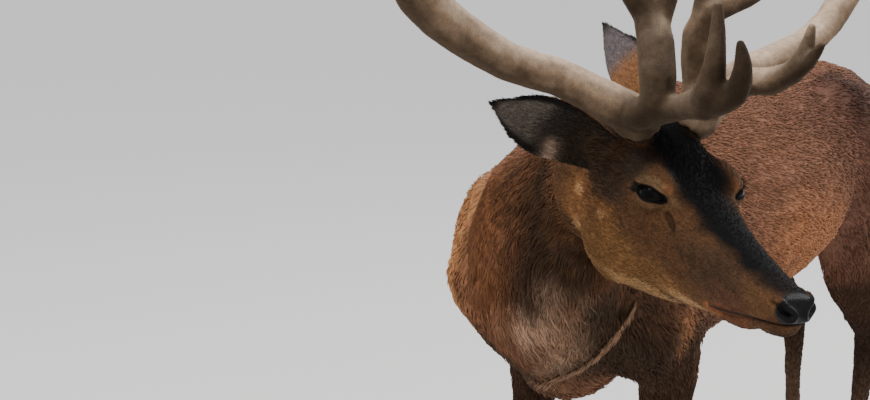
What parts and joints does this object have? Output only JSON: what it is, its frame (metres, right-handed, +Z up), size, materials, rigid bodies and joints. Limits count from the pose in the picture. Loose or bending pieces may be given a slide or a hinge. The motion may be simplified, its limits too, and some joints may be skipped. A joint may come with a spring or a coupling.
{
  "type": "red deer stag",
  "caption": "Life-size standing red deer stag with antlers in velvet, head turned to its left, one hind leg set back.",
  "frame": {"origin": "centre of the bounding box's footprint, on the floor under the hooves", "axes": "+Z up; the body runs along Y with the chest towards -Y; +X is the stag's left"},
  "size_m": [0.9016, 2.0614, 1.7327],
  "materials": {
    "coat": "short reddish-brown summer hair",
    "face": "very short dark brown hair",
    "ear": "short grey-brown hair",
    "velvet": "tan velvet skin",
    "horn": "dark horn",
    "eye": "wet black-brown"
  },
  "bodies": {
    "root": {"fore_left_forearm": "coat", "fore_left_cannon": "coat", "fore_left_pastern": "coat", "fore_left_hoof_left": "horn", "fore_left_dewclaw_left": "horn", "fore_left_hoof_right": "horn", "fore_left_dewclaw_right": "horn", "fore_right_forearm": "coat", "fore_right_cannon": "coat", "fore_right_pastern": "coat", "fore_right_hoof_left": "horn", "fore_right_dewclaw_left": "horn", "fore_right_hoof_right": "horn", "fore_right_dewclaw_right": "horn", "hind_left_gaskin": "coat", "hind_left_cannon": "coat", "hind_left_pastern": "coat", "hind_left_hoof_left": "horn", "hind_left_dewclaw_left": "horn", "hind_left_hoof_right": "horn", "hind_left_dewclaw_right": "horn", "hind_right_gaskin": "coat", "hind_right_cannon": "coat", "hind_right_pastern": "coat", "hind_right_hoof_left": "horn", "hind_right_dewclaw_left": "horn", "hind_right_hoof_right": "horn", "hind_right_dewclaw_right": "horn", "neck": "coat", "trunk": "coat", "tail": "coat", "head": "face", "ear_left": "ear", "eye_left": "eye", "antler_left_burr": "velvet", "antler_left_beam_lower": "velvet", "antler_left_beam_middle": "velvet", "antler_left_beam_upper": "velvet", "antler_left_bez": "velvet", "antler_left_bez_fork": "velvet", "antler_left_brow": "velvet", "antler_left_brow_fork": "velvet", "antler_left_trez": "velvet", "antler_left_crown_inner": "velvet", "antler_left_crown_outer": "velvet", "antler_left_crown_back": "velvet", "ear_right": "ear", "eye_right": "eye", "antler_right_burr": "velvet", "antler_right_beam_lower": "velvet", "antler_right_beam_middle": "velvet", "antler_right_beam_upper": "velvet", "antler_right_bez": "velvet", "antler_right_bez_fork": "velvet", "antler_right_brow": "velvet", "antler_right_brow_fork": "velvet", "antler_right_trez": "velvet", "antler_right_crown_inner": "velvet", "antler_right_crown_outer": "velvet", "antler_right_crown_back": "velvet"}
  },
  "joints": []
}
